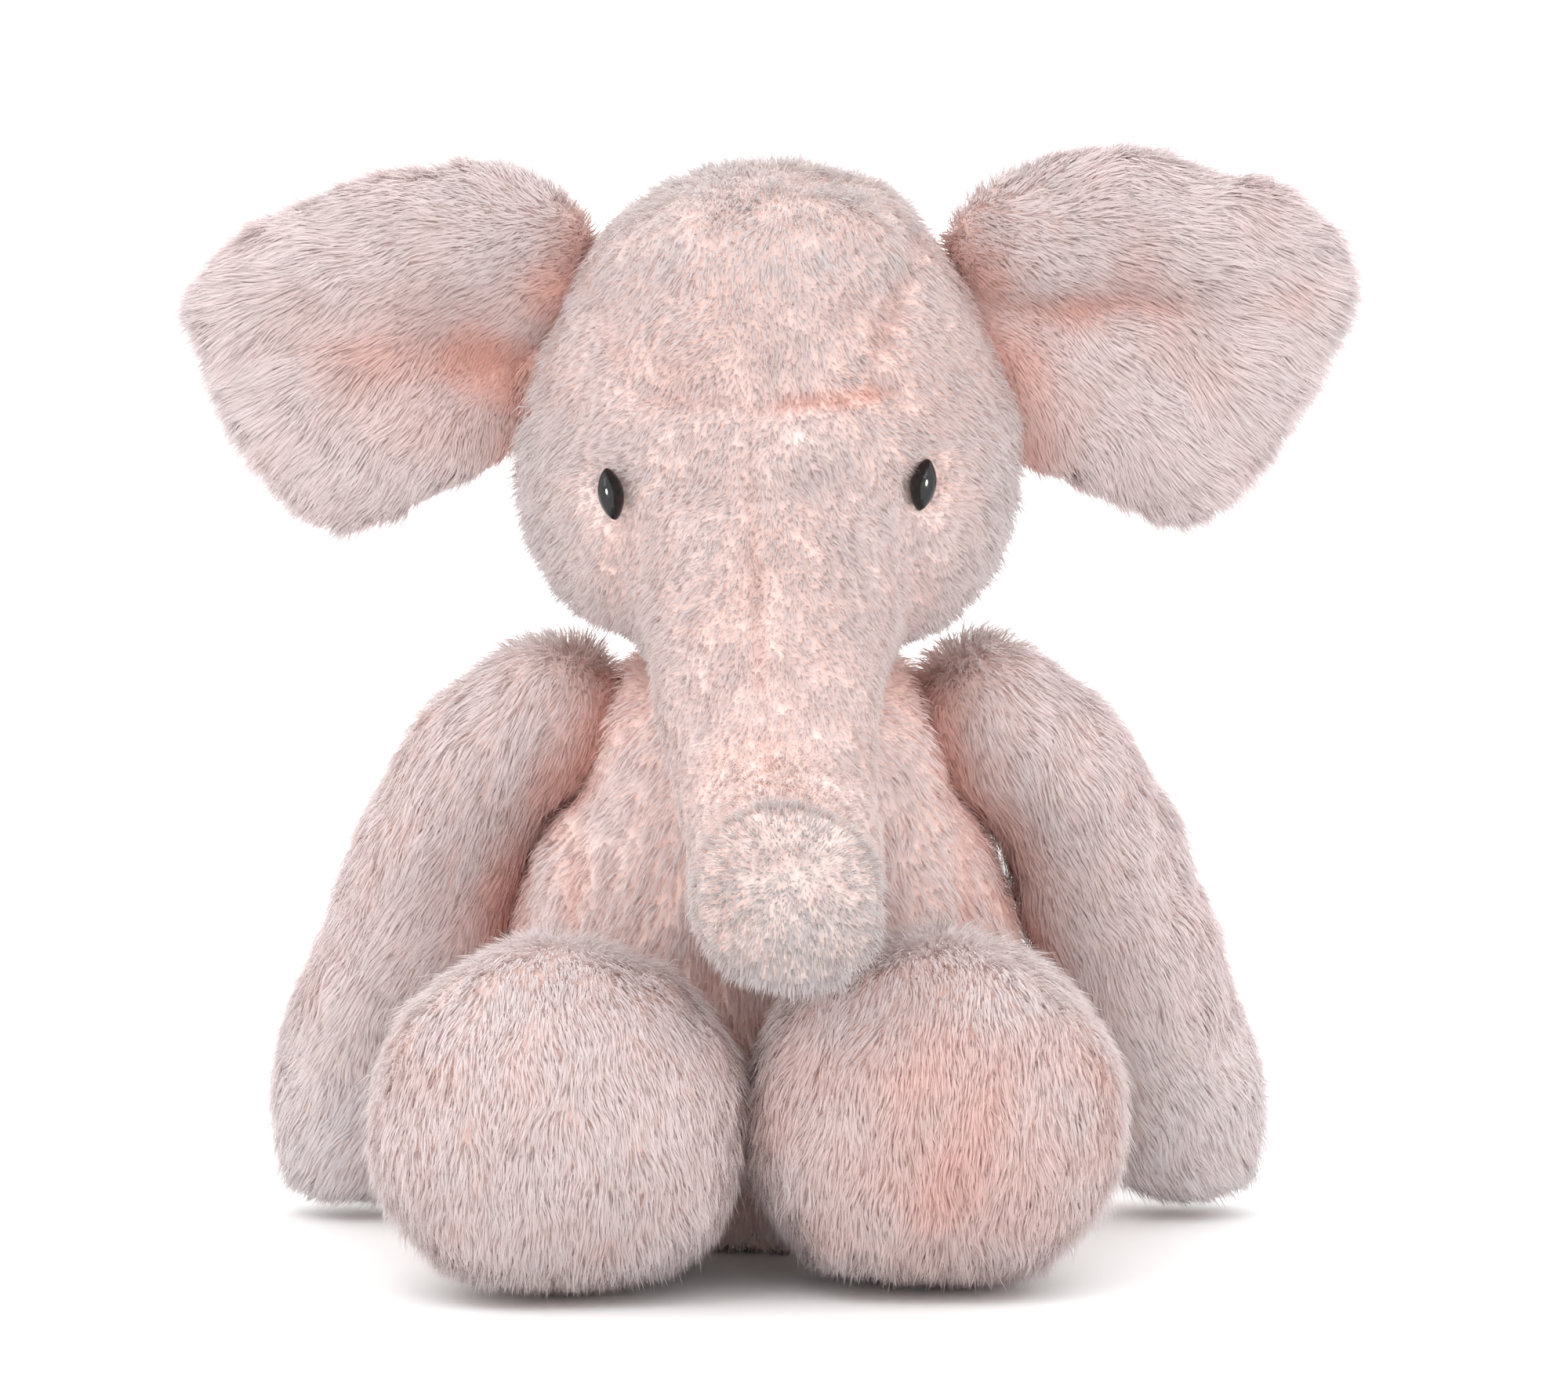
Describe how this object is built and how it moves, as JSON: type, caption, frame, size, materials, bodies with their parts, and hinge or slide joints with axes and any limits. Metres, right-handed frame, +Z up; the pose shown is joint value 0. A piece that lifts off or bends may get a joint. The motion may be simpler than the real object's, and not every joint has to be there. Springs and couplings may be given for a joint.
{
  "type": "plush elephant",
  "caption": "Sitting long-pile plush elephant with wide ears, a forward-hanging trunk, soft hanging arms and round feet, face to -Y.",
  "frame": {"origin": "middle of the flat seat, on the surface that the toy sits on", "axes": "+Z up, the face looks along -Y, +X is to the viewer's right when facing it"},
  "size_m": [0.2462, 0.205, 0.2397],
  "materials": {
    "pink_plush": "matte",
    "pale_plush": "matte",
    "stuffing_fibre": "matte",
    "pellet_bag_cloth": "matte",
    "black_bead": "gloss",
    "washer_plastic": "matte"
  },
  "bodies": {
    "torso": {"seat_base_panel": "pink_plush", "seat_pellet_bag": "pellet_bag_cloth", "torso_belly_panel": "pink_plush", "torso_left_side_panel": "pink_plush", "torso_right_side_panel": "pink_plush", "torso_stuffing": "stuffing_fibre"},
    "head": {"forehead_gusset": "pink_plush", "head_left_panel": "pink_plush", "head_right_panel": "pink_plush", "head_stuffing": "stuffing_fibre", "left_eye": "black_bead", "left_eye_washer": "washer_plastic", "right_eye": "black_bead", "right_eye_washer": "washer_plastic"},
    "trunk": {"trunk_left_panel": "pink_plush", "trunk_right_panel": "pink_plush", "trunk_stuffing": "stuffing_fibre", "trunk_tip_disc": "pale_plush"},
    "left_ear": {"left_ear_back_panel": "pink_plush", "left_ear_front_panel": "pink_plush"},
    "right_ear": {"right_ear_back_panel": "pink_plush", "right_ear_front_panel": "pink_plush"},
    "left_arm": {"left_arm_inner_panel": "pink_plush", "left_arm_outer_panel": "pink_plush", "left_arm_stuffing": "stuffing_fibre"},
    "right_arm": {"right_arm_inner_panel": "pink_plush", "right_arm_outer_panel": "pink_plush", "right_arm_stuffing": "stuffing_fibre"},
    "left_leg": {"left_foot_pellet_bag": "pellet_bag_cloth", "left_foot_sole": "pink_plush", "left_leg_inner_panel": "pink_plush", "left_leg_outer_panel": "pink_plush", "left_leg_stuffing": "stuffing_fibre"},
    "right_leg": {"right_foot_pellet_bag": "pellet_bag_cloth", "right_foot_sole": "pink_plush", "right_leg_inner_panel": "pink_plush", "right_leg_outer_panel": "pink_plush", "right_leg_stuffing": "stuffing_fibre"},
    "tail": {"tail": "pink_plush"}
  },
  "joints": [
    {"name": "head_nod", "type": "hinge", "parent": "torso", "child": "head", "pos_m": [0, -0.008, 0.142], "axis": [-1, 0, 0], "range_deg": [0, 15]},
    {"name": "trunk_lift", "type": "hinge", "parent": "head", "child": "trunk", "pos_m": [0, -0.046, 0.154], "axis": [-1, 0, 0], "range_deg": [0, 25]},
    {"name": "left_ear_flap", "type": "hinge", "parent": "head", "child": "left_ear", "pos_m": [-0.046, -0.014, 0.198], "axis": [0.2599, 0, 0.9656], "range_deg": [-15, 15], "stiffness_Nm_per_rad": 0.05},
    {"name": "right_ear_flap", "type": "hinge", "parent": "head", "child": "right_ear", "pos_m": [0.046, -0.014, 0.198], "axis": [0.2599, 0, -0.9656], "range_deg": [-15, 15], "stiffness_Nm_per_rad": 0.05},
    {"name": "left_arm_lift", "type": "hinge", "parent": "torso", "child": "left_arm", "pos_m": [-0.049, -0.002, 0.112], "axis": [0, 1, 0], "range_deg": [0, 55]},
    {"name": "right_arm_lift", "type": "hinge", "parent": "torso", "child": "right_arm", "pos_m": [0.0485, -0.002, 0.112], "axis": [0, -1, 0], "range_deg": [0, 55]},
    {"name": "left_leg_spread", "type": "hinge", "parent": "torso", "child": "left_leg", "pos_m": [-0.03, -0.034, 0.034], "axis": [0, 0, -1], "range_deg": [0, 20]},
    {"name": "right_leg_spread", "type": "hinge", "parent": "torso", "child": "right_leg", "pos_m": [0.0265, -0.032, 0.034], "axis": [0, 0, 1], "range_deg": [0, 20]},
    {"name": "tail_lift", "type": "hinge", "parent": "torso", "child": "tail", "pos_m": [0, 0.044, 0.028], "axis": [1, 0, 0], "range_deg": [0, 35]}
  ]
}
